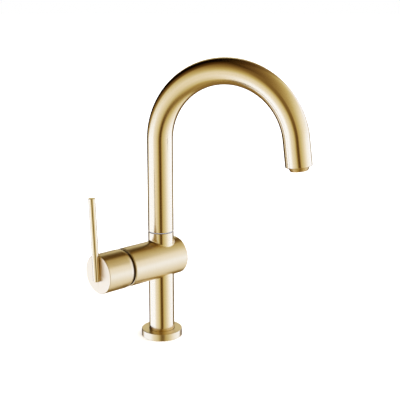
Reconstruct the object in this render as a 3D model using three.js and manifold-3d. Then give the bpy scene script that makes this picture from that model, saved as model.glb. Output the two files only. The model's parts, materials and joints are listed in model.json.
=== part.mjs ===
// Single-lever basin mixer: a round column on a base flange carries a horizontal crossbody with a
// side handle on one end, and a swivelling gooseneck spout on top.
//
// Units are millimetres. The origin is the centre of the base's underside, +Z is up, the crossbody
// lies along X with its handle at -X, and -Y is the front. The spout stands swung to one side of
// the front, and the lever is in its closed position.

import * as THREE from "three";
import { mergeVertices } from "three/addons/utils/BufferGeometryUtils.js";
import Module from "manifold-3d";

const wasm = await Module();
wasm.setup();

// ---- Driving dimensions ----
const GAP = 0.3; // between neighbouring pieces
const TUBE_R = 14; // spout, collar and column share one outer radius
const TUBE_WALL = 1.5;
const COLUMN_BORE_R = 12;
const FLANGE_R = 22.5;
const FLANGE_H = 8;
const FLANGE_EDGE = 0.4;

const CROSS_Z = 90; // height of the crossbody's axis
const CROSS_R = 21;
const CROSS_FAR = -22; // closed end, measured along the axis from the column
const CROSS_FRONT = 52.3; // open end, towards the handle
const CROSS_FAR_EDGE = 1.5;
const CROSS_FRONT_EDGE = 1;

const CAP_GAP = 2; // visible groove between crossbody and handle cap
const CAP_LENGTH = 33;
const CAP_WALL = 4.5;
const CAP_FRONT_WALL = 8.3;
const CAP_EDGE = 0.5;

const LEVER_R = 3.6;
const LEVER_LENGTH = 89.6;
const LEVER_FOOT_DROP = 7; // how far the lever reaches below the handle's axis
const LEVER_STAND_OFF = 1.85; // of its foot's centre line from the cap's face
const LEVER_LEAN = THREE.MathUtils.degToRad(2.2);

const PIVOT_U = 60; // tilt axis of the handle, along the crossbody's axis
const BALL_U = 47; // centre of the stem's ball
const DISC_OFFSET = -2.05; // the moving disc rests below the axis when the tap is closed

const SEAM_Z = 120.7; // top of the collar, where the spout begins
const SLIP_RING_H = 0.4; // of the flange that shows in the seam
const BEND_Z = 222.5; // height where the gooseneck's bend begins
const BEND_R = 75.7;
const BEND_ANGLE = THREE.MathUtils.degToRad(173);
const TAIL = 28; // straight end after the bend
const SPOUT_AZIMUTH = THREE.MathUtils.degToRad(-64.75); // front is -90 degrees

const PORT_INLET_R = 2.6;
const PORT_OUTLET_R = 3;
const PORT_X = 6; // ports lie this far below and above the crossbody's axis
const PIPE_X = -3.5; // the two supply pipes stand a little towards the handle
const PIPE_Y = 4.6; // and this far either side of the column's axis
const PIPE_R = 3.5;

const SEAT_U = 28.2; // bottom of the cartridge bore
const FINE = 48; // sides of the large round surfaces
const COARSE = 24; // sides of the small ones
const TINY = 12;

// ---- Materials ----
const finish = (color, roughness, metalness) =>
  new THREE.MeshStandardMaterial({ color, roughness, metalness });
const GOLD = finish(0xd9bd7e, 0.28, 1);
const BRASS = finish(0xb5964f, 0.45, 1);
const STEEL = finish(0xb9babc, 0.35, 1);
const COPPER = finish(0xb87348, 0.4, 1);
const RUBBER = finish(0x17171a, 0.9, 0);
const CERAMIC = finish(0xe9e4da, 0.25, 0);
const DARK_PLASTIC = finish(0x2b2c2f, 0.55, 0);
const WHITE_PLASTIC = finish(0xd8dade, 0.5, 0);

// ---- Solids ----
// A closed three.js geometry as a manifold-3d solid, moved by an optional matrix.
function solid(geometry, matrix = new THREE.Matrix4()) {
  const bare = new THREE.BufferGeometry();
  bare.setAttribute("position", geometry.getAttribute("position").clone());
  if (geometry.index) bare.setIndex(geometry.index.clone());
  bare.applyMatrix4(matrix);
  const merged = mergeVertices(bare, 1e-4);
  return new wasm.Manifold(
    new wasm.Mesh({
      numProp: 3,
      vertProperties: new Float32Array(merged.attributes.position.array),
      triVerts: new Uint32Array(merged.index.array),
    }),
  );
}

function geometryOf(manifold) {
  const { vertProperties, numProp, numVert, triVerts } = manifold.getMesh();
  const positions = new Float32Array(numVert * 3);
  for (let i = 0; i < numVert; i++) {
    positions.set(vertProperties.subarray(i * numProp, i * numProp + 3), i * 3);
  }
  const geometry = new THREE.BufferGeometry();
  geometry.setAttribute("position", new THREE.BufferAttribute(positions, 3));
  geometry.setIndex(new THREE.BufferAttribute(new Uint32Array(triVerts), 1));
  geometry.computeVertexNormals();
  return geometry;
}

// A closed profile of [radius, height] points, listed anticlockwise, turned about +Z.
function turned(profile, sides = COARSE) {
  const points = [...profile, profile[0]].map(([r, z]) => new THREE.Vector2(r, z));
  const geometry = new THREE.LatheGeometry(points, sides);
  return solid(geometry, new THREE.Matrix4().makeRotationX(Math.PI / 2));
}

const rod = (r, z0, z1, sides = COARSE) =>
  turned(
    [
      [0, z0],
      [r, z0],
      [r, z1],
      [0, z1],
    ],
    sides,
  );

const ring = (inner, outer, z0, z1, sides = COARSE) =>
  turned(
    [
      [inner, z0],
      [outer, z0],
      [outer, z1],
      [inner, z1],
    ],
    sides,
  );

// A rod turned to lie along X or Y, from a to b on that axis.
const rodAlongX = (r, a, b, sides = COARSE) => rod(r, a, b, sides).rotate([0, 90, 0]);
const rodAlongY = (r, a, b, sides = COARSE) => rod(r, a, b, sides).rotate([-90, 0, 0]);

function block(x0, x1, y0, y1, z0, z1) {
  const box = solid(new THREE.BoxGeometry(x1 - x0, y1 - y0, z1 - z0));
  return box.translate([(x0 + x1) / 2, (y0 + y1) / 2, (z0 + z1) / 2]);
}

const cut = (from, ...tools) => tools.reduce((a, b) => a.subtract(b), from);

// Points of an arc for a profile, from angle a to angle b in degrees.
function arc(centreR, centreZ, radius, a, b, steps = 4) {
  return Array.from({ length: steps + 1 }, (_, i) => {
    const angle = THREE.MathUtils.degToRad(a + ((b - a) * i) / steps);
    return [centreR + radius * Math.cos(angle), centreZ + radius * Math.sin(angle)];
  });
}

function piece(group, name, shape, material) {
  const mesh = new THREE.Mesh(geometryOf(shape), material);
  mesh.name = name;
  group.add(mesh);
}

// ---- Groups ----
const faucet = new THREE.Group();

// Along the crossbody: local +Z runs out to the handle, local +X is up, and the origin is on the
// column's axis.
const cross = new THREE.Group();
cross.position.set(0, 0, CROSS_Z);
cross.rotation.y = -Math.PI / 2;
faucet.add(cross);

// The spout's own frame: local +X is its reach.
const spout = new THREE.Group();
spout.rotation.z = SPOUT_AZIMUTH;
faucet.add(spout);

// ---- Base ----
function addBase() {
  const bore = TUBE_R + GAP;
  const grooveIn = 15.2;
  const grooveOut = 20.2;
  const grooveDepth = 1.8;
  const flange = turned(
    [
      [bore, 0],
      [grooveIn, 0],
      [grooveIn, grooveDepth],
      [grooveOut, grooveDepth],
      [grooveOut, 0],
      [FLANGE_R - FLANGE_EDGE, 0],
      [FLANGE_R, FLANGE_EDGE],
      [FLANGE_R, FLANGE_H - FLANGE_EDGE],
      [FLANGE_R - FLANGE_EDGE, FLANGE_H],
      [bore, FLANGE_H],
    ],
    FINE,
  );
  piece(faucet, "base_flange", flange, GOLD);
  piece(faucet, "base_gasket", ring(grooveIn + GAP, grooveOut - GAP, 0, grooveDepth - GAP, FINE), RUBBER);
}

// ---- Foot insert, with its hose and stud sockets, and the supply pipes above it ----
const FOOT_BOTTOM = 0;
const FOOT_TOP = 14;
const PIPE_SEAT = 11; // the pipes start in counterbores at this height
const PIPE_TOP = 78.5;

function addSupply() {
  const socketR = 4;
  const socketTop = 9;
  const studR = 3.3;
  const studX = 6.2;
  const studTop = 11;
  let foot = rod(COLUMN_BORE_R - GAP, FOOT_BOTTOM, FOOT_TOP);
  foot = cut(foot, rod(studR, -1, studTop, TINY).translate([studX, 0, 0]));
  for (const [side, name] of [
    [-1, "inlet_pipe_hot"],
    [1, "inlet_pipe_cold"],
  ]) {
    const y = side * PIPE_Y;
    foot = cut(
      foot,
      rod(socketR, -1, socketTop, TINY).translate([PIPE_X, y, 0]),
      rod(PORT_INLET_R, 0, FOOT_TOP + 1, TINY).translate([PIPE_X, y, 0]),
      rod(PIPE_R + GAP, PIPE_SEAT, FOOT_TOP + 1, TINY).translate([PIPE_X, y, 0]),
    );
    const pipe = ring(PORT_INLET_R, PIPE_R, PIPE_SEAT + GAP, PIPE_TOP, TINY).translate([PIPE_X, y, 0]);
    piece(faucet, name, pipe, COPPER);
  }
  piece(faucet, "foot_insert", foot, BRASS);
}

// ---- Mixer body: column, crossbody and collar ----
const NUT_BORE_R = 16.5;
const NUT_BORE_U = 38;
const CUP_R = 19.6; // the handle cap's rear edge dips into this cup as the lever tilts
const CUP_U = 47.5;
const CARTRIDGE_BORE_R = 14.2;
const NIPPLE_THREAD_R = 10;
const NIPPLE_SEAT_Z = 104;
const WATERWAY_R = 7.5;
const PLUG_BOTTOM = 58;
const PLUG_POCKET_TOP = 76;

// Lays a shape made about +Z along the crossbody.
const lay = (shape) => shape.rotate([0, -90, 0]).translate([0, 0, CROSS_Z]);

// The column and the collar end in saddles that fit the crossbody.
function addColumnAndCollar() {
  const columnFoot = 0.5;
  const saddle = lay(rod(CROSS_R + GAP, -CROSS_R, CROSS_FRONT, FINE));
  const column = ring(COLUMN_BORE_R, TUBE_R, columnFoot, CROSS_Z, FINE);
  const collar = ring(NIPPLE_THREAD_R, TUBE_R, CROSS_Z, SEAM_Z, FINE);
  piece(faucet, "column_tube", column.subtract(saddle), GOLD);
  piece(faucet, "spout_collar", collar.subtract(saddle), GOLD);
}

// The plug joins the column to the crossbody from inside, and the supply pipes pass through it.
function addColumnPlug() {
  let plug = rod(COLUMN_BORE_R - GAP, PLUG_BOTTOM, PLUG_POCKET_TOP - GAP);
  for (const side of [-1, 1]) {
    const passage = rod(PIPE_R + GAP, PLUG_BOTTOM - 1, PLUG_POCKET_TOP, TINY);
    plug = cut(plug, passage.translate([PIPE_X, side * PIPE_Y, 0]));
  }
  piece(faucet, "column_plug", plug, BRASS);
}

function addCrossbody() {
  // Turned about its own axis: solid at the closed end, and stepped bores for the cartridge at the other.
  const shell = turned(
    [
      [0, CROSS_FAR],
      ...arc(CROSS_R - CROSS_FAR_EDGE, CROSS_FAR + CROSS_FAR_EDGE, CROSS_FAR_EDGE, -90, 0),
      [CROSS_R, CROSS_FRONT - CROSS_FRONT_EDGE],
      [CROSS_R - CROSS_FRONT_EDGE, CROSS_FRONT],
      [CUP_R, CROSS_FRONT],
      [CUP_R, CUP_U],
      [NUT_BORE_R, CUP_U],
      [NUT_BORE_R, NUT_BORE_U],
      [CARTRIDGE_BORE_R, NUT_BORE_U],
      [CARTRIDGE_BORE_R, SEAT_U],
      [0, SEAT_U],
    ],
    FINE,
  );
  const waterwayBottom = 92;
  let body = cut(
    lay(shell),
    rod(COLUMN_BORE_R, CROSS_Z - CROSS_R - 1, PLUG_POCKET_TOP),
    rod(NIPPLE_THREAD_R, NIPPLE_SEAT_Z, SEAM_Z),
    rod(WATERWAY_R, waterwayBottom, SEAM_Z),
    lay(rod(PORT_OUTLET_R, 0, SEAT_U + 1, TINY).translate([PORT_X, 0, 0])),
  );
  const passageEnd = -PIPE_X - PORT_INLET_R;
  for (const side of [-1, 1]) {
    const y = side * PIPE_Y;
    body = cut(
      body,
      rod(PIPE_R + GAP, PLUG_POCKET_TOP - 1, PIPE_TOP + GAP, TINY).translate([PIPE_X, y, 0]),
      rod(PORT_INLET_R, PLUG_POCKET_TOP, CROSS_Z - PORT_X, TINY).translate([PIPE_X, y, 0]),
      lay(rod(PORT_INLET_R, passageEnd, SEAT_U + 1, TINY).translate([-PORT_X, y, 0])),
    );
  }
  piece(faucet, "crossbody_housing", body, GOLD);
}

// ---- Spout joint: nipple, slip ring, O-rings and retaining ring ----
function addSpoutJoint() {
  const nippleR = 11.5;
  const nippleTop = 150;
  const oRings = [
    ["spout_oring_lower", 131],
    ["spout_oring_upper", 140],
  ];
  const oRingH = 2;
  const oRingInner = 10.3;
  const clipZ = 146;
  const clipH = 1.2;
  const clipInner = 10;
  let nipple = rod(NIPPLE_THREAD_R - GAP, NIPPLE_SEAT_Z + GAP, SEAM_Z + 1);
  nipple = nipple.add(rod(nippleR, SEAM_Z + GAP, nippleTop));
  nipple = cut(nipple, rod(WATERWAY_R, NIPPLE_SEAT_Z, nippleTop + 1));
  const tubeBore = TUBE_R - TUBE_WALL;
  for (const [name, z] of oRings) {
    nipple = cut(nipple, ring(oRingInner - GAP, nippleR + 1, z - GAP, z + oRingH + GAP));
    piece(faucet, name, ring(oRingInner, tubeBore - GAP, z, z + oRingH), RUBBER);
  }
  nipple = cut(nipple, ring(clipInner - GAP, nippleR + 1, clipZ - GAP, clipZ + clipH + GAP));
  piece(faucet, "spout_nipple", nipple, BRASS);
  piece(faucet, "spout_retaining_ring", ring(clipInner, tubeBore - GAP, clipZ, clipZ + clipH), STEEL);
  // An L-shaped ring: its flange shows as the fine line under the spout, its skirt centres the tube.
  const flangeZ = SEAM_Z + GAP;
  const flangeSetBack = 0.3; // from the tube's surface
  const skirtTop = 127;
  const slipRing = turned(
    [
      [nippleR + GAP, flangeZ],
      [TUBE_R - flangeSetBack, flangeZ],
      [TUBE_R - flangeSetBack, flangeZ + SLIP_RING_H],
      [tubeBore - GAP, flangeZ + SLIP_RING_H],
      [tubeBore - GAP, skirtTop],
      [nippleR + GAP, skirtTop],
    ],
    FINE,
  );
  piece(faucet, "slip_ring", slipRing, WHITE_PLASTIC);
}

// ---- Cartridge: the fixed half, the turret that turns with temperature, and the sliding disc ----
const PORTS = [
  { name: "seat_seal_hot", x: -PORT_X, y: -PIPE_Y, r: PORT_INLET_R },
  { name: "seat_seal_cold", x: -PORT_X, y: PIPE_Y, r: PORT_INLET_R },
  { name: "seat_seal_mixed", x: PORT_X, y: 0, r: PORT_OUTLET_R },
];
const HOUSING_R = 13.9;
const HOUSING_BORE_R = 12.3;
const NECK_R = 11.3;
const NECK_BORE_R = 9.8;
const TURRET_R = 9.5;

function addFixedCartridge() {
  const baseFrom = SEAT_U + GAP;
  const baseTo = 32;
  const discTo = 36;
  const sealDepth = 1.8;
  const sealWall = 1.2;
  let base = rod(HOUSING_R, baseFrom, baseTo);
  let fixedDisc = rod(HOUSING_BORE_R - GAP, baseTo + GAP, discTo);
  for (const { name, x, y, r } of PORTS) {
    const sealR = r + 0.1;
    const pocket = rod(sealR + sealWall + GAP, baseFrom - 1, baseFrom + sealDepth, TINY);
    const hole = rod(r, baseFrom - 1, baseTo + 1, TINY);
    const discHole = rod(r - 0.2, baseTo, discTo + 1, TINY);
    const seal = ring(sealR, sealR + sealWall, baseFrom, baseFrom + sealDepth - GAP, TINY);
    base = cut(base, pocket.translate([x, y, 0]), hole.translate([x, y, 0]));
    fixedDisc = cut(fixedDisc, discHole.translate([x, y, 0]));
    piece(cross, name, seal.translate([x, y, 0]), RUBBER);
  }
  piece(cross, "cartridge_base", base, DARK_PLASTIC);
  piece(cross, "fixed_ceramic_disc", fixedDisc, CERAMIC);

  const shoulderIn = 44.3;
  const shoulderOut = 45.8;
  const housing = turned(
    [
      [HOUSING_BORE_R, baseTo + GAP],
      [HOUSING_R, baseTo + GAP],
      [HOUSING_R, shoulderOut],
      [NECK_R, shoulderOut],
      [NECK_R, CROSS_FRONT],
      [NECK_BORE_R, CROSS_FRONT],
      [NECK_BORE_R, shoulderIn],
      [HOUSING_BORE_R, shoulderIn],
    ],
    COARSE,
  );
  piece(cross, "cartridge_housing", housing, WHITE_PLASTIC);

  const nutFrom = 39;
  const lipFrom = shoulderOut + GAP;
  const nutTo = 47.9; // clear of the cap's rear edge at full tilt
  const nut = turned(
    [
      [CARTRIDGE_BORE_R, nutFrom],
      [NUT_BORE_R - GAP, nutFrom],
      [NUT_BORE_R - GAP, nutTo],
      [NECK_R + GAP, nutTo],
      [NECK_R + GAP, lipFrom],
      [CARTRIDGE_BORE_R, lipFrom],
    ],
    COARSE,
  );
  piece(cross, "cartridge_nut", nut, BRASS);
}

const SLOT_HALF_WIDTH = 4.4; // of the slot that the stem and the disc's hub move in
const SLOT_DOWN = -4.6;
const SLOT_UP = 8.3;
const PIN_HOLE_R = 1.5;

function addTurret() {
  const flangeFrom = 42.3;
  const flangeTo = 44;
  const turretTo = 63.5;
  const limiterFrom = CROSS_FRONT + GAP;
  const limiterTo = 55.6;
  const flange = rod(HOUSING_BORE_R - GAP, flangeFrom, flangeTo);
  let turret = flange.add(rod(TURRET_R, flangeFrom, turretTo));
  turret = cut(
    turret,
    block(SLOT_DOWN, SLOT_UP, -SLOT_HALF_WIDTH, SLOT_HALF_WIDTH, flangeFrom - 1, turretTo + 1),
    rodAlongY(PIN_HOLE_R, -TURRET_R - 1, TURRET_R + 1, TINY).translate([0, 0, PIVOT_U]),
  );
  piece(cross, "cartridge_turret", turret, WHITE_PLASTIC);
  piece(cross, "temperature_limit_ring", ring(TURRET_R + GAP, 12, limiterFrom, limiterTo), DARK_PLASTIC);
  const pinHalf = TURRET_R - 0.4;
  const pin = rodAlongY(PIN_HOLE_R - GAP, -pinHalf, pinHalf, TINY);
  piece(cross, "pivot_pin", pin.translate([0, 0, PIVOT_U]), STEEL);
}

function addMovingDisc() {
  const discR = 9.6;
  const discFrom = 36.3;
  const discTo = 39.3;
  const chamberDepth = 1.7;
  const carrierTo = 42;
  const hubR = 4;
  const hubTo = 49.5;
  const socketR = 2.7;
  const socketFrom = 43.8;
  const disc = cut(
    rod(discR, discFrom, discTo).translate([DISC_OFFSET, 0, 0]),
    block(DISC_OFFSET - 4.5, DISC_OFFSET + 6, -4, 4, discFrom - 1, discFrom + chamberDepth),
  );
  piece(cross, "moving_ceramic_disc", disc, CERAMIC);
  const plate = rod(discR, discTo + GAP, carrierTo).translate([DISC_OFFSET, 0, 0]);
  const carrier = plate.add(rod(hubR, discTo + GAP, hubTo));
  piece(cross, "disc_carrier", cut(carrier, rod(socketR, socketFrom, hubTo + 1, TINY)), DARK_PLASTIC);
}

// ---- Handle: stem, cap, lever and its screws ----
const CAP_REAR = CROSS_FRONT + CAP_GAP;
const CAP_FACE = CAP_REAR + CAP_LENGTH;
const CAP_CAVITY_END = CAP_FACE - CAP_FRONT_WALL;
const STEM_END_R = 4;
const STEM_END = 79.3;
const SET_SCREW_U = 75;
const SET_SCREW_R = 1.7;
const LEVER_SCREW_X = 12;
const LEVER_SCREW_R = 1.5;

// A shape made along +Z with its foot at the origin, moved to the lever's place.
function onLeverAxis(shape) {
  return shape
    .rotate([0, 90, 0])
    .rotate([0, THREE.MathUtils.radToDeg(-LEVER_LEAN), 0])
    .translate([-LEVER_FOOT_DROP, 0, CAP_FACE + LEVER_STAND_OFF]);
}

function addStem() {
  const ballR = 2.4;
  const neckR = 1.6;
  const neckTo = 50.8;
  const shaftR = 3;
  const shaftTo = 66.5;
  const stem = turned(
    [
      ...arc(0, BALL_U, ballR, -90, 40, 7),
      [neckR, BALL_U + ballR],
      [neckR, neckTo],
      [shaftR, neckTo],
      [shaftR, shaftTo],
      [STEM_END_R, shaftTo],
      [STEM_END_R, STEM_END],
      [0, STEM_END],
    ],
    TINY,
  );
  const pinHole = rodAlongY(PIN_HOLE_R, -shaftR - 1, shaftR + 1, TINY).translate([0, 0, PIVOT_U]);
  piece(cross, "cartridge_stem", cut(stem, pinHole), STEEL);
}

function addCap() {
  const bossR = 8;
  const bossFrom = 71;
  const rearRound = 5; // length of the rounded rear edge
  const rearDrop = 2.2; // its depth
  const roundSteps = 5;
  // The rear edge follows a quarter of an ellipse, so that it stays clear of the body as it tilts.
  const rear = Array.from({ length: roundSteps + 1 }, (_, i) => {
    const angle = (Math.PI / 2) * (i / roundSteps);
    return [CROSS_R - rearDrop * (1 - Math.sin(angle)), CAP_REAR + rearRound * (1 - Math.cos(angle))];
  });
  const cavityR = CROSS_R - CAP_WALL;
  const holeR = STEM_END_R + GAP;
  let cap = turned(
    [
      [cavityR, CAP_REAR],
      ...rear,
      [CROSS_R, CAP_FACE - CAP_EDGE],
      [CROSS_R - CAP_EDGE, CAP_FACE],
      [0, CAP_FACE],
      [0, STEM_END + GAP],
      [holeR, STEM_END + GAP],
      [holeR, bossFrom],
      [bossR, bossFrom],
      [bossR, CAP_CAVITY_END],
      [cavityR, CAP_CAVITY_END],
    ],
    FINE,
  );
  cap = cut(
    cap,
    onLeverAxis(rod(LEVER_R + GAP, -GAP, LEVER_LENGTH)),
    rodAlongX(SET_SCREW_R + GAP, -CROSS_R - 1, 0, TINY).translate([0, 0, SET_SCREW_U]),
    rod(LEVER_SCREW_R + GAP, CAP_CAVITY_END - 1, CAP_FACE, TINY).translate([LEVER_SCREW_X, 0, 0]),
  );
  piece(cross, "handle_cap", cap, GOLD);
}

// The set screw that grips the stem from below the cap, and the plug that hides it.
function addSetScrew() {
  const screwFoot = -10;
  const plugSunk = 0.2;
  const plugLength = 3.3;
  const plugFoot = -CROSS_R + plugSunk;
  const screw = rodAlongX(SET_SCREW_R, screwFoot, -STEM_END_R - GAP, TINY);
  const plug = rodAlongX(SET_SCREW_R, plugFoot, plugFoot + plugLength, TINY);
  piece(cross, "cap_set_screw", screw.translate([0, 0, SET_SCREW_U]), STEEL);
  piece(cross, "set_screw_plug", plug.translate([0, 0, SET_SCREW_U]), GOLD);
}

function addLever() {
  const edge = 0.35;
  const screwEnd = 90;
  const headR = 2.8;
  const headH = 2;
  const lever = onLeverAxis(
    turned(
      [
        [0, 0],
        [LEVER_R - edge, 0],
        [LEVER_R, edge],
        [LEVER_R, LEVER_LENGTH - edge],
        [LEVER_R - edge, LEVER_LENGTH],
        [0, LEVER_LENGTH],
      ],
      COARSE,
    ),
  );
  const tapped = rod(LEVER_SCREW_R + GAP, CAP_CAVITY_END, screwEnd + GAP, TINY);
  piece(cross, "lever_pin", cut(lever, tapped.translate([LEVER_SCREW_X, 0, 0])), GOLD);
  const seat = CAP_CAVITY_END - GAP;
  const head = rod(headR, seat - headH, seat, TINY);
  const screw = head.add(rod(LEVER_SCREW_R, seat - 1, screwEnd, TINY));
  piece(cross, "lever_screw", screw.translate([LEVER_SCREW_X, 0, 0]), STEEL);
}

// ---- Spout ----
const SPOUT_FROM = SEAM_Z + GAP + SLIP_RING_H + GAP;

// The centre line of the spout: straight up, round the bend, and a straight tail. The first and
// last of its steps are the two straights, and the rest are spread evenly round the bend.
class SpoutPath extends THREE.Curve {
  constructor(steps, startHeight, tailLength) {
    super();
    this.steps = steps;
    this.startHeight = startHeight;
    this.tailLength = tailLength;
  }

  bendAngle(t) {
    const i = t * this.steps;
    return BEND_ANGLE * THREE.MathUtils.clamp((i - 1) / (this.steps - 2), 0, 1);
  }

  getPoint(t, target = new THREE.Vector3()) {
    const angle = this.bendAngle(t);
    const tangent = this.getTangent(t);
    target.set(BEND_R * (1 - Math.cos(angle)), 0, BEND_Z + BEND_R * Math.sin(angle));
    if (t * this.steps < 0.5) target.z = this.startHeight;
    if (t * this.steps > this.steps - 0.5) target.addScaledVector(tangent, this.tailLength);
    return target;
  }

  getTangent(t, target = new THREE.Vector3()) {
    const angle = this.bendAngle(t);
    return target.set(Math.sin(angle), 0, Math.cos(angle));
  }

  getPointAt(u, target) {
    return this.getPoint(u, target);
  }

  getTangentAt(u, target) {
    return this.getTangent(u, target);
  }
}

function swept(radius, startHeight, tailLength, sides) {
  const steps = 28;
  const circle = new THREE.Shape().absarc(0, 0, radius, 0, 2 * Math.PI, false);
  const extrudePath = new SpoutPath(steps, startHeight, tailLength);
  return solid(new THREE.ExtrudeGeometry(circle, { steps, extrudePath, curveSegments: sides / 2 }));
}

// A group at the spout's end, with local +Z along the flow.
const outlet = new THREE.Group();
outlet.position.set(
  BEND_R * (1 - Math.cos(BEND_ANGLE)) + TAIL * Math.sin(BEND_ANGLE),
  0,
  BEND_Z + BEND_R * Math.sin(BEND_ANGLE) + TAIL * Math.cos(BEND_ANGLE),
);
outlet.rotation.y = BEND_ANGLE;
spout.add(outlet);

function addSpoutTube() {
  const outer = swept(TUBE_R, SPOUT_FROM, TAIL, 32);
  const inner = swept(TUBE_R - TUBE_WALL, SPOUT_FROM - 1, TAIL + 1, 24);
  piece(spout, "spout_tube", outer.subtract(inner), GOLD);
}

// Holes on a hexagonal grid, as tools to cut a disc with.
function holeGrid(rings, pitch, radius, z0, z1) {
  const tools = [];
  for (let i = -rings; i <= rings; i++) {
    for (let j = -rings; j <= rings; j++) {
      if (Math.abs(i + j) > rings) continue;
      const x = pitch * (i + j / 2);
      const y = pitch * j * Math.sin(Math.PI / 3);
      tools.push(rod(radius, z0, z1, 6).translate([x, y, 0]));
    }
  }
  return tools;
}

function addAerator() {
  const threadR = TUBE_R - TUBE_WALL - GAP;
  const lipR = 11.2;
  const lipOut = 4.4; // how far the lip stands out of the spout
  const noseFrom = 0.3; // the lip tapers from here to its end
  const noseR = 9.2;
  const noseEdge = 0.4;
  const boreR = 8.6;
  const shelfR = 7.6; // the insert rests on this shelf
  const housingFrom = -11;
  const threadTo = -0.8;
  const shelf = 0.4;
  const housing = turned(
    [
      [boreR, housingFrom],
      [threadR, housingFrom],
      [threadR, threadTo],
      [lipR, threadTo],
      [lipR, noseFrom],
      [noseR, lipOut - noseEdge],
      [noseR - noseEdge, lipOut],
      [shelfR, lipOut],
      [shelfR, lipOut - shelf],
      [boreR, lipOut - shelf],
    ],
    COARSE,
  );
  piece(outlet, "aerator_housing", housing, GOLD);
  const sealTo = housingFrom - GAP;
  const sealFrom = sealTo - 2;
  const seatFrom = sealFrom - GAP - 4;
  piece(outlet, "aerator_seal", ring(8, threadR, sealFrom, sealTo), RUBBER);
  piece(outlet, "outlet_seat_ring", ring(9.5, threadR, seatFrom, sealFrom - GAP), BRASS);

  const insertR = boreR - GAP;
  const insertTo = lipOut - shelf - GAP;
  const insertFrom = -6;
  const insertFloor = 2.2;
  const cupWall = 1;
  const cup = cut(
    rod(insertR, insertFrom, insertTo),
    rod(insertR - cupWall, insertFrom - 1, insertTo - insertFloor),
    ...holeGrid(2, 3, 1.1, insertTo - insertFloor - 1, insertTo + 1),
  );
  piece(outlet, "aerator_insert", cup, WHITE_PLASTIC);
  const screenTo = insertTo - insertFloor - GAP;
  const screen = cut(
    rod(insertR - cupWall - GAP, screenTo - 0.4, screenTo),
    ...holeGrid(1, 4.6, 1.7, screenTo - 1, screenTo + 1),
  );
  piece(outlet, "aerator_screen", screen, STEEL);
  const restrictor = cut(
    rod(insertR, housingFrom + 0.2, insertFrom - GAP),
    ...holeGrid(1, 5, 1, housingFrom - 1, insertFrom + 1),
  );
  piece(outlet, "flow_restrictor", restrictor, DARK_PLASTIC);
}

addBase();
addSupply();
addColumnAndCollar();
addColumnPlug();
addCrossbody();
addSpoutJoint();
addFixedCartridge();
addTurret();
addMovingDisc();
addStem();
addCap();
addSetScrew();
addLever();
addSpoutTube();
addAerator();

export default faucet;
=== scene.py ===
"""Looks of the basin mixer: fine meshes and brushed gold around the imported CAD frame.

Lengths are worked in millimetres, like the part, and become metres when a mesh is made.
"""

import json
import math

import bmesh
import bpy
from mathutils import Matrix, Vector


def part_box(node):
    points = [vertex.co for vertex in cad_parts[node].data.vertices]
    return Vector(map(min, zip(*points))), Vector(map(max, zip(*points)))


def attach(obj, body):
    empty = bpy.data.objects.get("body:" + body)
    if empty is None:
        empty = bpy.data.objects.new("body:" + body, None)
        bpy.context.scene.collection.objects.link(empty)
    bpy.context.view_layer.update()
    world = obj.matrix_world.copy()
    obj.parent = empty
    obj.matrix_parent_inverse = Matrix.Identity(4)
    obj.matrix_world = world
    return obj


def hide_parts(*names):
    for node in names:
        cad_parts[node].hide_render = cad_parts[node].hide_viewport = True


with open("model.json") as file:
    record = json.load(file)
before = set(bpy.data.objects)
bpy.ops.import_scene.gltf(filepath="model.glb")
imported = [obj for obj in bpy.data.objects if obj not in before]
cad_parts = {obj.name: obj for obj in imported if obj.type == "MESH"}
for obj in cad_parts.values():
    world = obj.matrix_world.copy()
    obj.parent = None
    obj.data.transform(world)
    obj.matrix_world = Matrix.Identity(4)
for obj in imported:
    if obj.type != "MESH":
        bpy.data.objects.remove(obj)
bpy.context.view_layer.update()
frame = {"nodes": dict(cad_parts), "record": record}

MM = 0.001
SIDES = 144  # round the large turned pieces
FINE_SIDES = 64  # round the small ones
SIXTHS = [math.pi / 3 * k for k in range(6)]


def box_mm(node):
    """Lowest and highest corner of a CAD node, in millimetres."""
    low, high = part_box(node)
    return Vector(low) / MM, Vector(high) / MM


# ---- Sizes read from the CAD ----
flange_low, flange_high = box_mm("base_flange")
FLANGE_R = flange_high.x
FLANGE_H = flange_high.z
TUBE_R = box_mm("spout_collar")[1].x
SEAM_Z = box_mm("spout_collar")[1].z
COLUMN_FOOT = box_mm("column_tube")[0].z
cross_low, cross_high = box_mm("crossbody_housing")
CROSS_R = cross_high.y
CROSS_Z = (cross_low.z + cross_high.z) / 2
CROSS_FAR = -cross_high.x  # measured along the crossbody from the column, towards the handle
CROSS_FRONT = -cross_low.x
cap_low, cap_high = box_mm("handle_cap")
CAP_REAR = -cap_high.x
CAP_FACE = -cap_low.x
slip_low, slip_high = box_mm("slip_ring")
SPOUT_FOOT = box_mm("spout_tube")[0].z
PLUG_FOOT = box_mm("set_screw_plug")[0].z

# ---- Sizes of the part's own design that a box can't show ----
GAP = 0.3
TUBE_WALL = 1.5
COLUMN_BORE_R = 12
NIPPLE_BORE_R = 10
SLIP_FLANGE_H = 0.4
BEND_Z = 222.5
BEND_R = 75.7
BEND_ANGLE = math.radians(173)
TAIL = 28
SPOUT_AZIMUTH = math.radians(-64.75)
LEVER_R = 3.6
LEVER_LENGTH = 89.6
LEVER_FOOT_DROP = 7
LEVER_STAND_OFF = 1.85
LEVER_LEAN = math.radians(2.2)
SET_SCREW_U = 75
SET_SCREW_R = 1.7
LEVER_SCREW_X = 12

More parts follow.
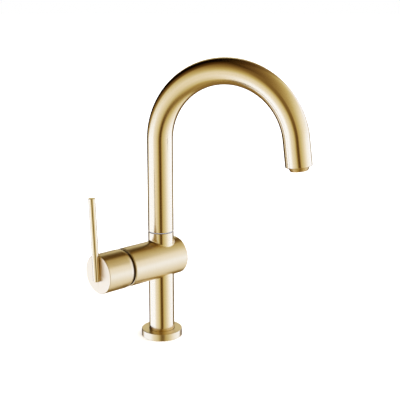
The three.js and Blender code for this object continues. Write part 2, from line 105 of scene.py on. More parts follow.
# ---- Frames of the groups: local +Z is the axis that a piece is turned about ----
UPRIGHT = Matrix.Identity(4)
ALONG_CROSSBODY = Matrix.Translation((0, 0, CROSS_Z)) @ Matrix.Rotation(-math.pi / 2, 4, "Y")
ALONG_LEVER = (
    ALONG_CROSSBODY
    @ Matrix.Translation((-LEVER_FOOT_DROP, 0, CAP_FACE + LEVER_STAND_OFF))
    @ Matrix.Rotation(math.pi / 2 - LEVER_LEAN, 4, "Y")
)
ACROSS_CAP = (
    ALONG_CROSSBODY
    @ Matrix.Translation((0, 0, SET_SCREW_U))
    @ Matrix.Rotation(math.pi / 2, 4, "Y")
)
ABOVE_CAP_AXIS = ALONG_CROSSBODY @ Matrix.Translation((LEVER_SCREW_X, 0, 0))
SPOUT_PLANE = Matrix.Rotation(SPOUT_AZIMUTH, 4, "Z")


# ---- Mesh tools ----
def rounded(profile, steps=4):
    """The points of a closed profile of (radius, height) or (radius, height, fillet), fillets drawn."""
    points = []
    for i, corner in enumerate(profile):
        here = Vector(corner[:2])
        fillet = corner[2] if len(corner) > 2 else 0
        if not fillet:
            points.append(here)
            continue
        before = (Vector(profile[i - 1][:2]) - here).normalized()
        after = (Vector(profile[(i + 1) % len(profile)][:2]) - here).normalized()
        half = before.angle(after) / 2
        centre = here + (before + after).normalized() * fillet / math.sin(half)
        start = here + before * fillet / math.tan(half) - centre
        end = here + after * fillet / math.tan(half) - centre
        turn = start.angle_signed(end)
        for k in range(steps + 1):
            angle = -turn * k / steps
            spoke = Matrix.Rotation(angle, 2) @ start
            points.append(centre + spoke)
    return points


def new_object(name, bm):
    """Makes a smooth-shaded object of a bmesh in millimetres, with its faces pointing out."""
    bmesh.ops.recalc_face_normals(bm, faces=bm.faces)
    bmesh.ops.scale(bm, vec=(MM, MM, MM), verts=bm.verts)
    mesh = bpy.data.meshes.new(name)
    bm.to_mesh(mesh)
    bm.free()
    mesh.shade_smooth()
    obj = bpy.data.objects.new(name, mesh)
    bpy.context.scene.collection.objects.link(obj)
    return obj


def skin(bm, rings, lengths, closed):
    """Joins rings of vertices into a surface. A ring of one vertex is a pole.

    The UVs carry the brushing: u is the distance along the piece in metres, v the turn round it.
    """
    uv = bm.loops.layers.uv.new("brush")
    count = max(len(r) for r in rings)
    spans = len(rings) if closed else len(rings) - 1
    for i in range(spans):
        a, b = rings[i], rings[(i + 1) % len(rings)]
        for k in range(count):
            corners = [(a, k, i), (a, k + 1, i), (b, k + 1, i + 1), (b, k, i + 1)]
            face_corners = []
            for ring, turn, step in corners:
                vertex = ring[turn % len(ring)]
                if all(vertex is not other for other, _ in face_corners):
                    face_corners.append((vertex, (lengths[step] * MM, turn / count)))
            if len(face_corners) < 3:
                continue
            face = bm.faces.new([v for v, _ in face_corners])
            for loop, (_, coordinates) in zip(face.loops, face_corners):
                loop[uv].uv = coordinates


def running_length(points):
    """The distance run from the first point to each of them, and on round to the first again."""
    total = [0.0]
    for a, b in zip(points, points[1:] + points[:1]):
        total.append(total[-1] + (b - a).length)
    return total


def turned(name, profile, place=UPRIGHT, sides=SIDES, steps=4):
    """A body turned about +Z. Its profile starts and ends on the axis, or closes on itself."""
    points = rounded(profile, steps)
    bm = bmesh.new()
    rings = []
    for r, z in points:
        if r < 1e-6:
            rings.append([bm.verts.new((0, 0, z))])
            continue
        angles = (2 * math.pi * k / sides for k in range(sides))
        rings.append([bm.verts.new((r * math.cos(a), r * math.sin(a), z)) for a in angles])
    on_axis = len(rings[0]) == 1
    skin(bm, rings, running_length(points), closed=not on_axis)
    bm.transform(place)
    obj = new_object(name, bm)
    keep_flats_flat(obj)
    return obj


def keep_flats_flat(obj):
    """Shades flat faces flat and leaves the turn to the small fillets between them."""
    weighted = obj.modifiers.new("weighted_normals", "WEIGHTED_NORMAL")
    weighted.weight = 100
    weighted.keep_sharp = True


def cut_with(obj, cutters):
    """Cuts the cutters out of obj, and removes them."""
    for cutter in cutters:
        modifier = obj.modifiers.new("cut", "BOOLEAN")
        modifier.operation = "DIFFERENCE"
        modifier.solver = "EXACT"
        modifier.object = cutter
        obj.modifiers.move(len(obj.modifiers) - 1, 0)
        with bpy.context.temp_override(object=obj, active_object=obj):
            bpy.ops.object.modifier_apply(modifier=modifier.name)
        bpy.data.objects.remove(cutter)


def rod(name, r, z0, z1, place):
    return turned(name, [(0, z0), (r, z0), (r, z1), (0, z1)], place, FINE_SIDES)


def finish_piece(obj, body, material, slot, *nodes):
    """Gives a piece its material and its place in the frame. It stands for the named CAD nodes."""
    obj.data.materials.clear()
    obj.data.materials.append(material)
    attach(obj, body)
    if nodes:
        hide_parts(*nodes)


# ---- Materials ----
class Nodes:
    """A short way to add nodes to a material or world and to link them."""

    def __init__(self, tree):
        self.tree = tree

    def add(self, kind, inputs=None, **settings):
        node = self.tree.nodes.new(kind)
        for key, value in settings.items():
            setattr(node, key, value)
        for key, value in (inputs or {}).items():
            socket = node.inputs[key]
            if isinstance(value, bpy.types.NodeSocket):
                self.tree.links.new(value, socket)
            else:
                socket.default_value = value
        return node

    def math(self, operation, a, b=0.0):
        return self.add("ShaderNodeMath", {0: a, 1: b}, operation=operation).outputs[0]

    def noise(self, vector, scale, detail):
        settings = {"Vector": vector, "Scale": scale, "Detail": detail}
        return self.add("ShaderNodeTexNoise", settings).outputs[0]

    def mix(self, factor, a, b):
        """Colour a where the factor is 0, colour b where it is 1."""
        node = self.add("ShaderNodeMix", {0: factor}, data_type="RGBA")
        for socket, value in ((node.inputs[6], a), (node.inputs[7], b)):
            if isinstance(value, bpy.types.NodeSocket):
                self.tree.links.new(value, socket)
            else:
                socket.default_value = value
        return node.outputs[2]

    def spread(self, value, low, high):
        """Maps 0..1 to low..high."""
        return self.add("ShaderNodeMapRange", {0: value, 3: low, 4: high}).outputs[0]

    def ramp(self, value, stops, interpolation="EASE"):
        """A colour ramp through stops of (position, grey level or colour)."""
        node = self.add("ShaderNodeValToRGB", {0: value})
        ramp = node.color_ramp
        ramp.interpolation = interpolation
        ramp.elements.remove(ramp.elements[1])
        for i, (position, colour) in enumerate(stops):
            element = ramp.elements[0] if i == 0 else ramp.elements.new(position)
            element.position = position
            red_green_blue = colour if isinstance(colour, tuple) else (colour, colour, colour)
            element.color = (*red_green_blue, 1)
        return node.outputs[0]


def new_material(name):
    material = bpy.data.materials.new(name)
    material.use_nodes = True
    nodes = Nodes(material.node_tree)
    return material, nodes, material.node_tree.nodes["Principled BSDF"]


def brush_lines(nodes, across, along):
    """Fine lines round a turned piece: noise stretched round it, from the piece's own UVs."""
    uv = nodes.add("ShaderNodeUVMap", uv_map="brush").outputs[0]
    split = nodes.add("ShaderNodeSeparateXYZ", {0: uv})
    turn = nodes.math("MULTIPLY", split.outputs[1], 2 * math.pi)
    vector = nodes.add(
        "ShaderNodeCombineXYZ",
        {
            0: nodes.math("MULTIPLY", split.outputs[0], across),
            1: nodes.math("MULTIPLY", nodes.math("SINE", turn), along),
            2: nodes.math("MULTIPLY", nodes.math("COSINE", turn), along),
        },
    ).outputs[0]
    return nodes.noise(vector, scale=1, detail=3)


def brushed_gold(name, smoothest, roughest, anisotropy):
    """Gold brushed round the piece, polished on its edges, where a paler colour is a painted highlight.

    The less the anisotropy, the softer it looks across the brushing.
    """
    material, nodes, shader = new_material(name)
    fine = brush_lines(nodes, across=5200, along=2.5)
    coarse = brush_lines(nodes, across=900, along=1.2)
    position = nodes.add("ShaderNodeTexCoord").outputs["Object"]
    cloud = nodes.noise(position, scale=38, detail=2)
    lines = nodes.math("ADD", nodes.math("MULTIPLY", fine, 0.75), nodes.math("MULTIPLY", coarse, 0.25))
    sharp_lines = nodes.ramp(lines, [(0.38, 0.0), (0.62, 1.0)])
    dark_line, light_line = (0.795, 0.63, 0.33, 1), (0.82, 0.655, 0.355, 1)
    # The paler gold is a painted highlight for the edges.
    cloudy, edge_highlight = (0.805, 0.635, 0.325, 1), (0.95, 0.88, 0.72, 1)
    tone = nodes.mix(sharp_lines, dark_line, light_line)
    tint = nodes.mix(nodes.spread(cloud, 0.0, 0.25), tone, cloudy)
    # Painted highlight: the pointy edges are mixed towards a pale gold.
    pointiness = nodes.add("ShaderNodeNewGeometry").outputs["Pointiness"]
    edge = nodes.ramp(pointiness, [(0.53, 0.0), (0.6, 1.0)])
    tint_with_highlight = nodes.mix(nodes.math("MULTIPLY", edge, 0.8), tint, edge_highlight)
    face_roughness = nodes.math(
        "ADD", nodes.spread(lines, smoothest, roughest), nodes.spread(cloud, -0.02, 0.02)
    )
    edge_polish = nodes.math("MULTIPLY", edge, (smoothest - 0.1) / 2)
    roughness = nodes.math("SUBTRACT", face_roughness, edge_polish)
    bump = nodes.add("ShaderNodeBump", {"Strength": 0.04, "Distance": 0.00002, "Height": lines})
    tangent = nodes.add("ShaderNodeTangent", direction_type="UV_MAP", uv_map="brush")
    shader.inputs["Metallic"].default_value = 1
    shader.inputs["Anisotropic"].default_value = anisotropy
    nodes.tree.links.new(tint_with_highlight, shader.inputs["Base Color"])
    nodes.tree.links.new(roughness, shader.inputs["Roughness"])
    nodes.tree.links.new(bump.outputs[0], shader.inputs["Normal"])
    nodes.tree.links.new(tangent.outputs[0], shader.inputs["Tangent"])
    return material


def cast_finish(name, dark, light, metallic, rough, grain, bump_mm):
    """A plain finish with grain: colour and roughness vary, and the grain stands out by bump_mm."""
    material, nodes, shader = new_material(name)
    position = nodes.add("ShaderNodeTexCoord").outputs["Object"]
    noise = nodes.noise(position, scale=grain, detail=4)
    patches = nodes.noise(position, scale=grain / 12, detail=2)
    tone = nodes.mix(patches, (*dark, 1), (*light, 1))
    grain_roughness = nodes.spread(noise, rough - 0.06, rough + 0.06)
    roughness = nodes.math("ADD", grain_roughness, nodes.spread(patches, -0.04, 0.04))
    bump = nodes.add("ShaderNodeBump", {"Strength": 0.4, "Distance": bump_mm * MM, "Height": noise})
    shader.inputs["Metallic"].default_value = metallic
    nodes.tree.links.new(tone, shader.inputs["Base Color"])
    nodes.tree.links.new(roughness, shader.inputs["Roughness"])
    nodes.tree.links.new(bump.outputs[0], shader.inputs["Normal"])
    return material


def metal(name, dark, light, rough, grain, bump_mm):
    return cast_finish(name, dark, light, 1, rough, grain, bump_mm)


def matt(name, dark, light, rough, grain, bump_mm):
    return cast_finish(name, dark, light, 0, rough, grain, bump_mm)


MATERIALS = {
    "brushed_gold": brushed_gold("brushed_gold", smoothest=0.13, roughest=0.18, anisotropy=0.9),
    "raw_brass": metal("raw_brass", (0.6, 0.36, 0.1), (0.72, 0.47, 0.17), 0.38, 2600, 0.01),
    "copper": metal("copper", (0.6, 0.27, 0.14), (0.76, 0.4, 0.24), 0.35, 900, 0.01),
    "steel": metal("steel", (0.46, 0.46, 0.48), (0.62, 0.62, 0.64), 0.32, 2600, 0.008),
    "rubber": matt("rubber", (0.012, 0.012, 0.013), (0.03, 0.03, 0.032), 0.72, 3200, 0.03),
    "ceramic_disc": matt("ceramic_disc", (0.74, 0.71, 0.65), (0.86, 0.84, 0.79), 0.28, 1800, 0.005),
    "pale_plastic": matt("pale_plastic", (0.4, 0.44, 0.58), (0.5, 0.54, 0.7), 0.45, 2200, 0.01),
    "dark_plastic": matt("dark_plastic", (0.028, 0.018, 0.01), (0.05, 0.034, 0.02), 0.5, 2200, 0.02),
}
GOLD = MATERIALS["brushed_gold"]
# The flange, the crossbody and the cap are satin, and the cap's end face is faced flat.
SATIN_GOLD = brushed_gold("satin_gold", smoothest=0.27, roughest=0.32, anisotropy=0.6)
# The aerator's skirt is an unbrushed gold, darker than the rest: the darkness is painted shade.
SKIRT_SHADED_GOLD = metal("skirt_shaded_gold", (0.56, 0.37, 0.12), (0.66, 0.45, 0.16), 0.26, 2600, 0.01)
# A dark brown for the parts seen in the groove between cap and crossbody: gold darkened as painted shade.
GROOVE_SHADE_PLASTIC = matt("groove_shade_plastic", (0.15, 0.09, 0.035), (0.21, 0.13, 0.05), 0.4, 2200, 0.02)
# The end face's gold is lighter than the rest of the cap: a painted highlight.
FACE_LIT_GOLD = metal("face_lit_gold", (0.87, 0.69, 0.37), (0.92, 0.74, 0.41), 0.44, 2600, 0.002)


# ---- Base, column and collar ----
def build_base():
    bore = TUBE_R + GAP
    groove_in, groove_out, groove_depth = 15.2, 20.2, 1.8
    flange = turned(
        "flange",
        [
            (bore, 0),
            (groove_in, 0),
            (groove_in, groove_depth),
            (groove_out, groove_depth),
            (groove_out, 0),
            (FLANGE_R, 0, 0.3),
            (FLANGE_R, FLANGE_H, 0.55),
            (bore, FLANGE_H, 0.3),
        ],
    )
    finish_piece(flange, "body", SATIN_GOLD, "brushed_gold", "base_flange")


def flared_tube(name, bore, end, flare):
    """A tube between the height of its free end and the crossbody, which it meets with a small flare.

    The flare is a fillet that follows the saddle where the two round surfaces cross.
    """
    side = 1 if end > CROSS_Z else -1
    edge = 0.3
    bevel = edge * 0.3
    wall_end = 0.6  # the straight wall ends this far beyond the flare's centre
    sunk = 0.4  # its foot reaches this far into the crossbody
    flare_steps = 8
    end_height = abs(end - CROSS_Z)
    rings = []
    for k in range(SIDES):
        turn = 2 * math.pi * k / SIDES
        across = math.sin(turn) ** 2
        slope = math.atan(TUBE_R * across / math.sqrt(CROSS_R**2 - TUBE_R**2 * across))
        contact = TUBE_R + flare - flare * math.sin(slope)
        top = math.sqrt(CROSS_R**2 - contact**2 * across)
        bore_top = math.sqrt(CROSS_R**2 - bore**2 * across)
        centre = Vector((TUBE_R + flare, top + flare * math.cos(slope)))
        profile = [
            Vector((bore, end_height)),
            Vector((TUBE_R - edge, end_height)),
            Vector((TUBE_R - bevel, end_height - bevel)),
            Vector((TUBE_R, end_height - edge)),
            Vector((TUBE_R, centre.y + wall_end)),
        ]
        for i in range(flare_steps + 1):
            angle = math.pi + (math.pi / 2 - slope) * i / flare_steps
            profile.append(centre + flare * Vector((math.cos(angle), math.sin(angle))))
        profile.append(Vector((contact, top - sunk)))
        profile.append(Vector((bore, bore_top - sunk)))
        rings.append([(r * math.cos(turn), r * math.sin(turn), CROSS_Z + side * h) for r, h in profile])
    bm = bmesh.new()
    by_height = [[bm.verts.new(point) for point in ring] for ring in zip(*rings)]
    skin(bm, by_height, running_length(profile), closed=True)
    obj = new_object(name, bm)
    keep_flats_flat(obj)
    return obj


def build_column_and_collar():
    column = flared_tube("column", COLUMN_BORE_R, COLUMN_FOOT, flare=1)
    finish_piece(column, "body", GOLD, "brushed_gold", "column_tube")
    collar = flared_tube("collar", NIPPLE_BORE_R, SEAM_Z, flare=1.6)
    finish_piece(collar, "body", GOLD, "brushed_gold", "spout_collar")


def build_crossbody():
    cup_r, cup_u = 19.6, 47.5
    nut_r, nut_u = 16.5, 38
    bore_r, bore_u = 14.2, 28.2
    crossbody = turned(
        "crossbody",
        [
            (0, CROSS_FAR),
            (CROSS_R, CROSS_FAR, 2.2),
            (CROSS_R, CROSS_FRONT, 1),
            (cup_r, CROSS_FRONT),
            (cup_r, cup_u),
            (nut_r, cup_u),
            (nut_r, nut_u),
            (bore_r, nut_u),
            (bore_r, bore_u),
            (0, bore_u),
        ],
        ALONG_CROSSBODY,
    )
    finish_piece(crossbody, "body", SATIN_GOLD, "brushed_gold", "crossbody_housing")


def build_slip_ring():
    inner, outer, bore = 11.8, TUBE_R - GAP, TUBE_R - TUBE_WALL - GAP
    flange_top = slip_low.z + SLIP_FLANGE_H
    ring = turned(
        "seam_ring",
        [
            (inner, slip_low.z),
            (outer, slip_low.z, 0.1),
            (outer, flange_top, 0.1),
            (bore, flange_top),
            (bore, slip_high.z),
            (inner, slip_high.z),
        ],
    )
    finish_piece(ring, "body", MATERIALS["pale_plastic"], "pale_plastic", "slip_ring")


# ---- Handle ----
def build_cap():
    wall = 4.5
    front_wall = 8.3
    rear_round, rear_drop, rear_steps = 5, 2.2, 8
    boss_r, boss_from = 8, 71
    hole_r, hole_to = 4.3, 79.6
    lever_play, lever_screw_hole_r = 0.2, 1.8
    cavity_r = CROSS_R - wall
    cavity_end = CAP_FACE - front_wall
    rear = [
        (CROSS_R - rear_drop * (1 - math.sin(a)), CAP_REAR + rear_round * (1 - math.cos(a)))
        for a in (math.pi / 2 * i / rear_steps for i in range(rear_steps + 1))
    ]
    cap = turned(
        "cap",
        [
            (cavity_r, CAP_REAR),
            *rear,
            (CROSS_R, CAP_FACE, 0.7),
            (0, CAP_FACE),
            (0, hole_to),
            (hole_r, hole_to),
            (hole_r, boss_from),
            (boss_r, boss_from),
            (boss_r, cavity_end),
            (cavity_r, cavity_end),
        ],
        ALONG_CROSSBODY,
    )
    channel = rod("channel", LEVER_R + lever_play, -lever_play, LEVER_LENGTH, ALONG_LEVER)
    screw_hole = rod("screw_hole", SET_SCREW_R + GAP, -CROSS_R - 1, 0, ACROSS_CAP)
    lever_hole = rod("lever_screw_hole", lever_screw_hole_r, cavity_end - 1, CAP_FACE, ABOVE_CAP_AXIS)
    cut_with(cap, [channel, screw_hole, lever_hole])
    finish_piece(cap, "handle", SATIN_GOLD, "brushed_gold", "handle_cap")
    # The end face takes the lighter gold of the painted highlight.
    cap.data.materials.append(FACE_LIT_GOLD)
    for face in cap.data.polygons:
        on_face = abs(face.center.x + CAP_FACE * MM) < 1e-6
        face.material_index = 1 if on_face else 0


def build_set_screw_plug():
    length, slope_in, slope_up = 3.3, 0.5, 0.15
    foot = PLUG_FOOT - CROSS_Z
    top = foot + length
    plug = turned(
        "screw_plug",
        [
            (0, foot + slope_up),
            (SET_SCREW_R - slope_in, foot),
            (SET_SCREW_R, foot, 0.2),
            (SET_SCREW_R, top),
            (0, top),
        ],
        ACROSS_CAP,
        sides=FINE_SIDES,
    )
    finish_piece(plug, "handle", GOLD, "brushed_gold", "set_screw_plug")


def build_lever():
    lever = turned(
        "lever",
        [(0, 0), (LEVER_R, 0, 0.35), (LEVER_R, LEVER_LENGTH, 0.35), (0, LEVER_LENGTH)],
        ALONG_LEVER,
        sides=96,
    )
    finish_piece(lever, "handle", GOLD, "brushed_gold", "lever_pin")


# ---- Spout ----
def spout_centre_line():
    """Centre points and directions of the gooseneck, in the plane of the spout: reach and height."""
    start = SPOUT_FOOT
    riser_steps, bend_steps = 12, 120
    line = [(Vector((0, start + (BEND_Z - start) * i / riser_steps)), 0.0) for i in range(riser_steps)]
    for i in range(bend_steps + 1):
        angle = BEND_ANGLE * i / bend_steps
        centre = Vector((BEND_R * (1 - math.cos(angle)), BEND_Z + BEND_R * math.sin(angle)))
        line.append((centre, angle))
    along = Vector((math.sin(BEND_ANGLE), math.cos(BEND_ANGLE)))
    line.append((line[-1][0] + along * (TAIL / 2), BEND_ANGLE))
    line.append((line[-1][0] + along * (TAIL / 2), BEND_ANGLE))
    return line


def ring_on(bm, centre, angle, radius):
    """A ring of vertices round a point of the centre line, square to its direction."""
    outward = Vector((math.cos(angle), 0, -math.sin(angle)))
    sideways = Vector((0, 1, 0))
    middle = Vector((centre.x, 0, centre.y))
    ring = []
    for k in range(SIDES):
        a = 2 * math.pi * k / SIDES
        spoke = outward * math.cos(a) + sideways * math.sin(a)
        ring.append(bm.verts.new(middle + spoke * radius))
    return ring


def build_spout():
    line = spout_centre_line()
    bore = TUBE_R - TUBE_WALL
    seam_lip, outlet_lip = 0.25, 0.9
    first, first_angle = line[0]
    last, last_angle = line[-1]
    up = Vector((math.sin(first_angle), math.cos(first_angle)))
    down = Vector((math.sin(last_angle), math.cos(last_angle)))
    sections = lip_sections(first, first_angle, up, seam_lip)
    sections += [(centre, angle, TUBE_R) for centre, angle in line[1:-1]]
    sections += reversed(lip_sections(last, last_angle, -down, outlet_lip))
    sections += [(centre, angle, bore) for centre, angle in reversed(line)]
    bm = bmesh.new()
    rings = [ring_on(bm, centre, angle, radius) for centre, angle, radius in sections]
    skin(bm, rings, running_length([c for c, _, _ in sections]), closed=True)
    bm.transform(SPOUT_PLANE)
    spout = new_object("gooseneck", bm)
    keep_flats_flat(spout)
    finish_piece(spout, "spout", GOLD, "brushed_gold", "spout_tube")


def lip_sections(end, angle, inward, lip):
    """The rounded outer edge of an open end, from its face to the full radius."""
    steps = 4
    sections = []
    for k in range(steps + 1):
        a = math.pi / 2 * k / steps
        centre = end + inward * lip * (1 - math.cos(a))
        sections.append((centre, angle, TUBE_R - lip * (1 - math.sin(a))))
    return sections


def outlet_frame():
    """The spout's open end, with +Z pointing out of it."""
    centre, angle = spout_centre_line()[-1]
    return (
        SPOUT_PLANE
        @ Matrix.Translation((centre.x, 0, centre.y))
        @ Matrix.Rotation(angle, 4, "Y")
    )


def build_aerator():
    outlet = outlet_frame()
    thread_r = TUBE_R - TUBE_WALL - GAP
    thread_from, thread_to = -11, -0.8
    lip_r, lip_out = 11.2, 4.4
    taper_from, nose_r = 0.3, 9.2
    bore_r, shelf_r, shelf_h = 8.6, 7.6, 0.4
    housing = turned(
        "aerator_ring",
        [
            (bore_r, thread_from),
            (thread_r, thread_from),
            (thread_r, thread_to, 0.3),
            (lip_r, thread_to),
            (lip_r, taper_from, 0.8),
            (nose_r, lip_out, 0.5),
            (shelf_r, lip_out, 0.15),
            (shelf_r, lip_out - shelf_h),
            (bore_r, lip_out - shelf_h),
        ],
        outlet,
    )
    # The skirt's darker gold is painted shade.
    finish_piece(housing, "spout", SKIRT_SHADED_GOLD, "brushed_gold", "aerator_housing")

    insert_r, insert_top = bore_r - GAP, lip_out - shelf_h - GAP
    insert_from, floor_h, wall = -6, 2.2, 1
    insert = turned(
        "aerator_honeycomb",
        [
            (0, insert_top - floor_h),
            (insert_r - wall, insert_top - floor_h),
            (insert_r - wall, insert_from),
            (insert_r, insert_from),
            (insert_r, insert_top, 0.2),
            (0, insert_top),
        ],
        outlet,
        sides=FINE_SIDES,
    )
    cell_rings, cell_pitch, cell_r = 4, 1.55, 0.76
    low, high = insert_top - floor_h - 1, insert_top + 1
    cells = honeycomb("cells", cell_rings, cell_pitch, cell_r, low, high, outlet)
    cut_with(insert, [cells])
    finish_piece(insert, "spout", MATERIALS["pale_plastic"], "pale_plastic", "aerator_insert")


def honeycomb(name, rings, pitch, radius, z0, z1, place):
    """Six-sided rods on a hexagonal grid, to cut a grille with."""
    bm = bmesh.new()
    for i in range(-rings, rings + 1):
        for j in range(-rings, rings + 1):
            if abs(i + j) > rings:
                continue
            x, y = pitch * (i + j / 2), pitch * j * math.sin(math.pi / 3)
            corners = [(x + radius * math.sin(a), y + radius * math.cos(a)) for a in SIXTHS]
            low = [bm.verts.new((*corner, z0)) for corner in corners]
            high = [bm.verts.new((*corner, z1)) for corner in corners]
            bm.faces.new(low[::-1])
            bm.faces.new(high)
            for k in range(6):
                bm.faces.new((low[k], low[k - 5], high[k - 5], high[k]))
    bm.transform(place)
    return new_object(name, bm)


# ---- Carried-over CAD pieces ----
IN_GROOVE = ("cartridge_housing", "cartridge_turret", "temperature_limit_ring")


def finish_cad_nodes():
    """Gives each CAD node its slot's material, but a dark brown of painted shade where the groove shows
    it.
    """
    for part in frame["record"]["subparts"]:
        obj = frame["nodes"][part["node"]]
        in_groove = part["node"] in IN_GROOVE
        obj.data.materials.clear()
        obj.data.materials.append(GROOVE_SHADE_PLASTIC if in_groove else MATERIALS[part["material_slot"]])


# ---- Studio ----
# Light levels run from 0 to 1, as (degrees, level). SIDE_LIGHT goes round the sky, right of the main
# view. The two fades and the floor's glow go up it. Shades and the other glows go out from a centre.
# The levels started as what the photographed gold reflects from each direction, measured by a script
# and rounded, and were then adjusted against renders.
SIDE_LIGHT = [
    (-180, 0.05),
    (-138, 0.05),
    (-125, 0.9),
    (-113, 1.0),
    (-68, 1.0),
    (-48, 0.8),
    (-36, 0.74),
    (-20, 0.58),
    (-10, 0.27),
    (-4, 0.05),
    (3, 0.05),
    (9, 0.2),
    (16, 0.48),
    (28, 0.55),
    (58, 0.76),
    (80, 0.85),
    (124, 0.9),
    (155, 0.9),
    (166, 0.7),
    (180, 0.05),
]
TOP_FADE = [
    (-21, 1.0), (-7, 0.9), (6, 0.88), (20, 0.7),
    (35, 0.5), (50, 0.31), (66, 0.18), (90, 0.1),
]
BOTTOM_FADE = [
    (-90, 0.3), (-72, 0.42), (-60, 0.66), (-53, 0.75),
    (-38, 0.86), (-23, 0.95), (-10, 1.0),
]
CEILING_SHADE = [
    (0, 0.0), (25, 0.02), (30, 0.12), (38, 0.22),
    (45, 0.35), (50, 0.42), (55, 0.8), (59, 1.0),
]
EDGE_SHADE = [(0, 0.1), (20, 0.15), (33, 1.0)]
FLOOR_GLOW = [(-90, 0.25), (-60, 0.22), (-36, 0.17), (-24, 0.09), (-14, 0.03), (0, 0.0)]
FRONT_GLOW = [(0, 0.18), (23, 0.16), (37, 0.05), (56, 0.0)]
BACK_GLOW = [(0, 0.58), (8, 0.55), (16, 0.3), (23, 0.0)]
# The darker the light, the warmer: the photographed gold's tones, divided by its base colour.
LIGHT_COLOUR = [
    (0.0, (0.001, 0.0004, 0.0001)),
    (0.06, (0.029, 0.0134, 0.003)),
    (0.15, (0.068, 0.04, 0.014)),
    (0.255, (0.119, 0.084, 0.031)),
    (0.465, (0.221, 0.196, 0.11)),
    (0.535, (0.251, 0.248, 0.2)),
    (0.65, (0.306, 0.315, 0.343)),
    (0.74, (0.348, 0.377, 0.514)),
    (0.79, (0.373, 0.434, 0.686)),
    (0.88, (0.414, 0.506, 0.905)),
    (1.0, (0.46, 0.56, 1.0)),
]

SKY_LEAN = -14  # degrees that the boxes' sky leans to the left
CEILING_AT = (-150, 38)  # degrees right of the main view and above the horizon, like those below
DARK_EDGES_AT = [(160, -24), (-165, -50)]
FRONT_GLOW_AT = (-8, 25)
BACK_GLOW_AT = (180, 20)
SKY_STRENGTH = 3.0
SUN_ENERGY = 5.0
SUN_SPREAD = math.radians(120)
SUN_TILT = (math.radians(12), math.radians(-10), 0)

# Place in metres, direction and lens in millimetres, from a fit to the photographed outline.
CAMERA_AT = Vector((-0.62172, -0.71885, 0.38190))
CAMERA_FORWARD = Vector((0.6690, 0.7062, -0.2318))
CAMERA_LENS = 80.49


def build_camera():
    data = bpy.data.cameras.new("camera")
    data.sensor_width = 36
    data.lens = CAMERA_LENS
    data.clip_end = 200
    camera = bpy.data.objects.new("camera", data)
    camera.location = CAMERA_AT
    camera.rotation_euler = CAMERA_FORWARD.to_track_quat("-Z", "Y").to_euler()
    bpy.context.scene.collection.objects.link(camera)
    bpy.context.scene.camera = camera


def build_room():
    """A pale floor out to the horizon, and a white backdrop that only the camera sees."""
    floor_r, room_r = 13, 12  # metres
    bm = bmesh.new()
    bmesh.ops.create_circle(bm, cap_ends=True, segments=96, radius=floor_r / MM)
    floor = new_object("floor", bm)
    material, nodes, shader = new_material("pale_floor")
    position = nodes.add("ShaderNodeTexCoord").outputs["Object"]
    grain = nodes.noise(position, scale=30, detail=3)
    tone = nodes.mix(grain, (0.86, 0.86, 0.86, 1), (0.9, 0.9, 0.9, 1))
    nodes.tree.links.new(tone, shader.inputs["Base Color"])
    shader.inputs["Roughness"].default_value = 0.8
    shader.inputs["Specular IOR Level"].default_value = 0
    floor.data.materials.append(material)
    floor.visible_glossy = False

    bm = bmesh.new()
    bmesh.ops.create_icosphere(bm, subdivisions=4, radius=room_r / MM)
    backdrop = new_object("backdrop", bm)
    white = bpy.data.materials.new("backdrop_white")
    white.use_nodes = True
    white.node_tree.nodes.clear()
    nodes = Nodes(white.node_tree)
    emission = nodes.add("ShaderNodeEmission", {"Color": (1, 1, 1, 1), "Strength": 1.0})
    nodes.add("ShaderNodeOutputMaterial", {0: emission.outputs[0]})
    backdrop.data.materials.append(white)
    for ray in ("diffuse", "glossy", "transmission", "volume_scatter", "shadow"):
        setattr(backdrop, f"visible_{ray}", False)


def sky_direction(right, up):
    """A direction in the turned sky: degrees right of the main view, and degrees up."""
    right, up = math.radians(right), math.radians(up)
    return Vector((math.cos(up) * math.cos(right), math.cos(up) * math.sin(right), math.sin(up)))


class Sky(Nodes):
    """Light levels that depend on where in the sky a ray goes. Stops are (degrees, level)."""

    def by_side(self, sky, stops):
        """Degrees right of the main view."""
        fraction = self.add("ShaderNodeTexGradient", {0: sky}, gradient_type="RADIAL").outputs[0]
        stops = [(0.5 + degrees / 360, level) for degrees, level in stops]
        return self.ramp(fraction, stops, "LINEAR")

    def by_height(self, sky, stops):
        """Degrees above the horizon."""
        height = self.add("ShaderNodeSeparateXYZ", {0: sky}).outputs[2]
        fraction = self.math("MULTIPLY", self.math("ADD", height, 1), 0.5)
        stops = [((math.sin(math.radians(degrees)) + 1) / 2, level) for degrees, level in stops]
        return self.ramp(fraction, stops, "LINEAR")

    def by_distance(self, sky, centre, stops):
        """Degrees away from a centre, which is given like sky_direction's, up to 90."""
        centre = sky_direction(*centre)
        dot = self.add("ShaderNodeVectorMath", {0: sky, 1: centre}, operation="DOT_PRODUCT").outputs[1]
        stops = sorted((math.cos(math.radians(degrees)), level) for degrees, level in stops)
        return self.ramp(dot, stops, "LINEAR")


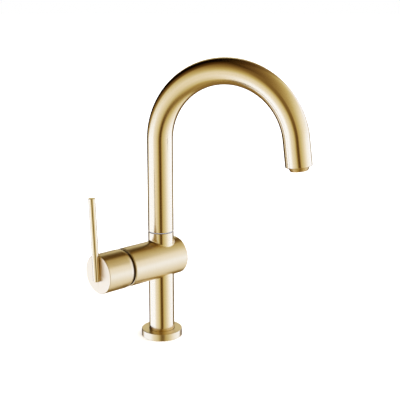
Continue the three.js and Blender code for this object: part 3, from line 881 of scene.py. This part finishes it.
def build_lights():
    """A soft sky: softboxes left and right with a dark gap between them, and a dark ceiling behind."""
    world = bpy.data.worlds.new("studio")
    bpy.context.scene.world = world
    world.use_nodes = True
    world.node_tree.nodes.clear()
    nodes = Sky(world.node_tree)
    direction = nodes.add("ShaderNodeTexCoord").outputs["Generated"]

    # In the turned sky, +X points from the faucet to the main view. The boxes' sky also leans left.
    to_view = -CAMERA_FORWARD.xy.normalized()
    bearing = math.atan2(to_view.y, to_view.x)
    sky = nodes.add(
        "ShaderNodeVectorRotate", {"Vector": direction, "Angle": -bearing}, rotation_type="Z_AXIS"
    ).outputs[0]
    leaning = nodes.add(
        "ShaderNodeVectorRotate", {"Vector": sky, "Angle": math.radians(SKY_LEAN)}, rotation_type="X_AXIS"
    ).outputs[0]

    boxes = nodes.by_side(leaning, SIDE_LIGHT)
    boxes = nodes.math("MULTIPLY", boxes, nodes.by_height(leaning, TOP_FADE))
    boxes = nodes.math("MULTIPLY", boxes, nodes.by_height(sky, BOTTOM_FADE))
    boxes = nodes.math("MULTIPLY", boxes, nodes.by_distance(sky, CEILING_AT, CEILING_SHADE))
    for edge in DARK_EDGES_AT:
        boxes = nodes.math("MULTIPLY", boxes, nodes.by_distance(sky, edge, EDGE_SHADE))
    fills = [
        nodes.by_height(sky, FLOOR_GLOW),
        nodes.by_distance(sky, FRONT_GLOW_AT, FRONT_GLOW),
        nodes.by_distance(sky, BACK_GLOW_AT, BACK_GLOW),
    ]
    light = boxes
    for fill in fills:
        light = nodes.math("MAXIMUM", light, fill)
    colour = nodes.ramp(light, LIGHT_COLOUR, "LINEAR")
    background = nodes.add("ShaderNodeBackground", {"Color": colour, "Strength": SKY_STRENGTH})
    nodes.add("ShaderNodeOutputWorld", {0: background.outputs[0]})

    data = bpy.data.lights.new("top_light", "SUN")
    data.energy = SUN_ENERGY
    data.angle = SUN_SPREAD
    lamp = bpy.data.objects.new("top_light", data)
    lamp.rotation_euler = SUN_TILT
    lamp.visible_glossy = False
    bpy.context.scene.collection.objects.link(lamp)


build_camera()
build_room()
build_lights()
build_base()
build_column_and_collar()
build_crossbody()
build_slip_ring()
build_cap()
build_set_screw_plug()
build_lever()
build_spout()
build_aerator()
finish_cad_nodes()

bpy.context.scene.view_settings.view_transform = "Standard"
